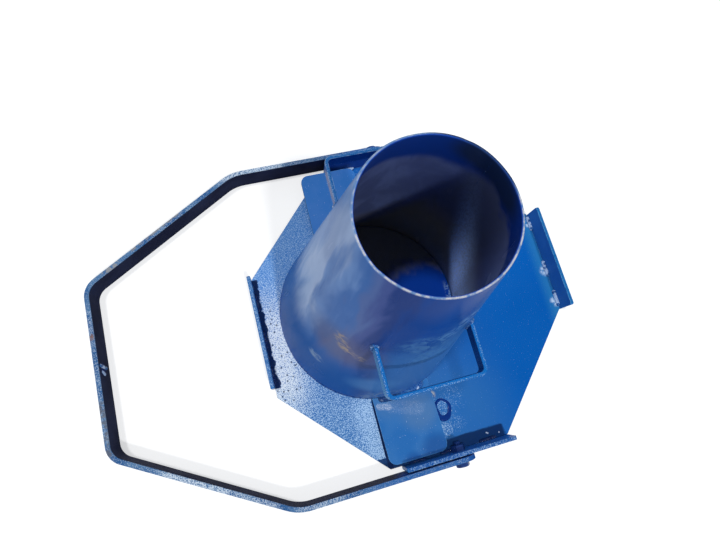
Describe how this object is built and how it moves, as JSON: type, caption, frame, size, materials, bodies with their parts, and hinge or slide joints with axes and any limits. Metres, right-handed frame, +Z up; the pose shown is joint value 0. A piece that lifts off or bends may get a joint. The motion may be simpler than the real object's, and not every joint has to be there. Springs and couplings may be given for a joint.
{
  "type": "slump cone",
  "caption": "Open steel cone mould with side handles and foot pieces, standing loose on a clipped square base plate with edge flanges and a swinging carrying bail.",
  "frame": {"origin": "middle of the base plate's underside, on the ground", "axes": "+Z up, +X from the stored bail's crossbar towards the pivots, +Y from the front flange towards the rear flange"},
  "size_m": [0.5231, 0.383, 0.304],
  "materials": {
    "plate_paint": "gloss blue enamel with a fine speckle",
    "flange_paint": "gloss blue enamel, worn along the edges",
    "bail_paint": "gloss blue enamel, scuffed to grey metal along the edges",
    "cone_paint": "gloss blue enamel, brushed, with a worn rim",
    "handle_paint": "gloss blue enamel",
    "foot_paint": "gloss blue enamel with a fine speckle",
    "bolt_paint": "painted over with the flanges",
    "weld_paint": "painted over weld metal"
  },
  "bodies": {
    "base": {"base_plate": "plate_paint", "front_flange": "flange_paint", "right_flange": "flange_paint", "rear_flange": "flange_paint", "left_flange": "flange_paint", "front_flange_welds": "weld_paint", "right_flange_welds": "weld_paint", "rear_flange_welds": "weld_paint", "left_flange_welds": "weld_paint", "front_pivot_bolt": "bolt_paint", "rear_pivot_bolt": "bolt_paint", "front_pivot_nut": "bolt_paint", "rear_pivot_nut": "bolt_paint", "front_pivot_washer": "bolt_paint", "rear_pivot_washer": "bolt_paint"},
    "bail": {"carrying_bail": "bail_paint"},
    "cone": {"cone_shell": "cone_paint", "cone_seam_weld": "weld_paint", "front_handle": "handle_paint", "rear_handle": "handle_paint", "front_handle_welds": "weld_paint", "rear_handle_welds": "weld_paint", "front_foot": "foot_paint", "rear_foot": "foot_paint", "front_foot_weld": "weld_paint", "rear_foot_weld": "weld_paint"}
  },
  "joints": [
    {"name": "bail_swing", "type": "hinge", "parent": "base", "child": "bail", "pos_m": [0, 0, 0.015], "axis": [0, 1, 0], "range_deg": [0, 180]},
    {"name": "cone_lift", "type": "slide", "parent": "base", "child": "cone", "axis": [0, 0, 1], "range_m": [0, 0.35]}
  ]
}
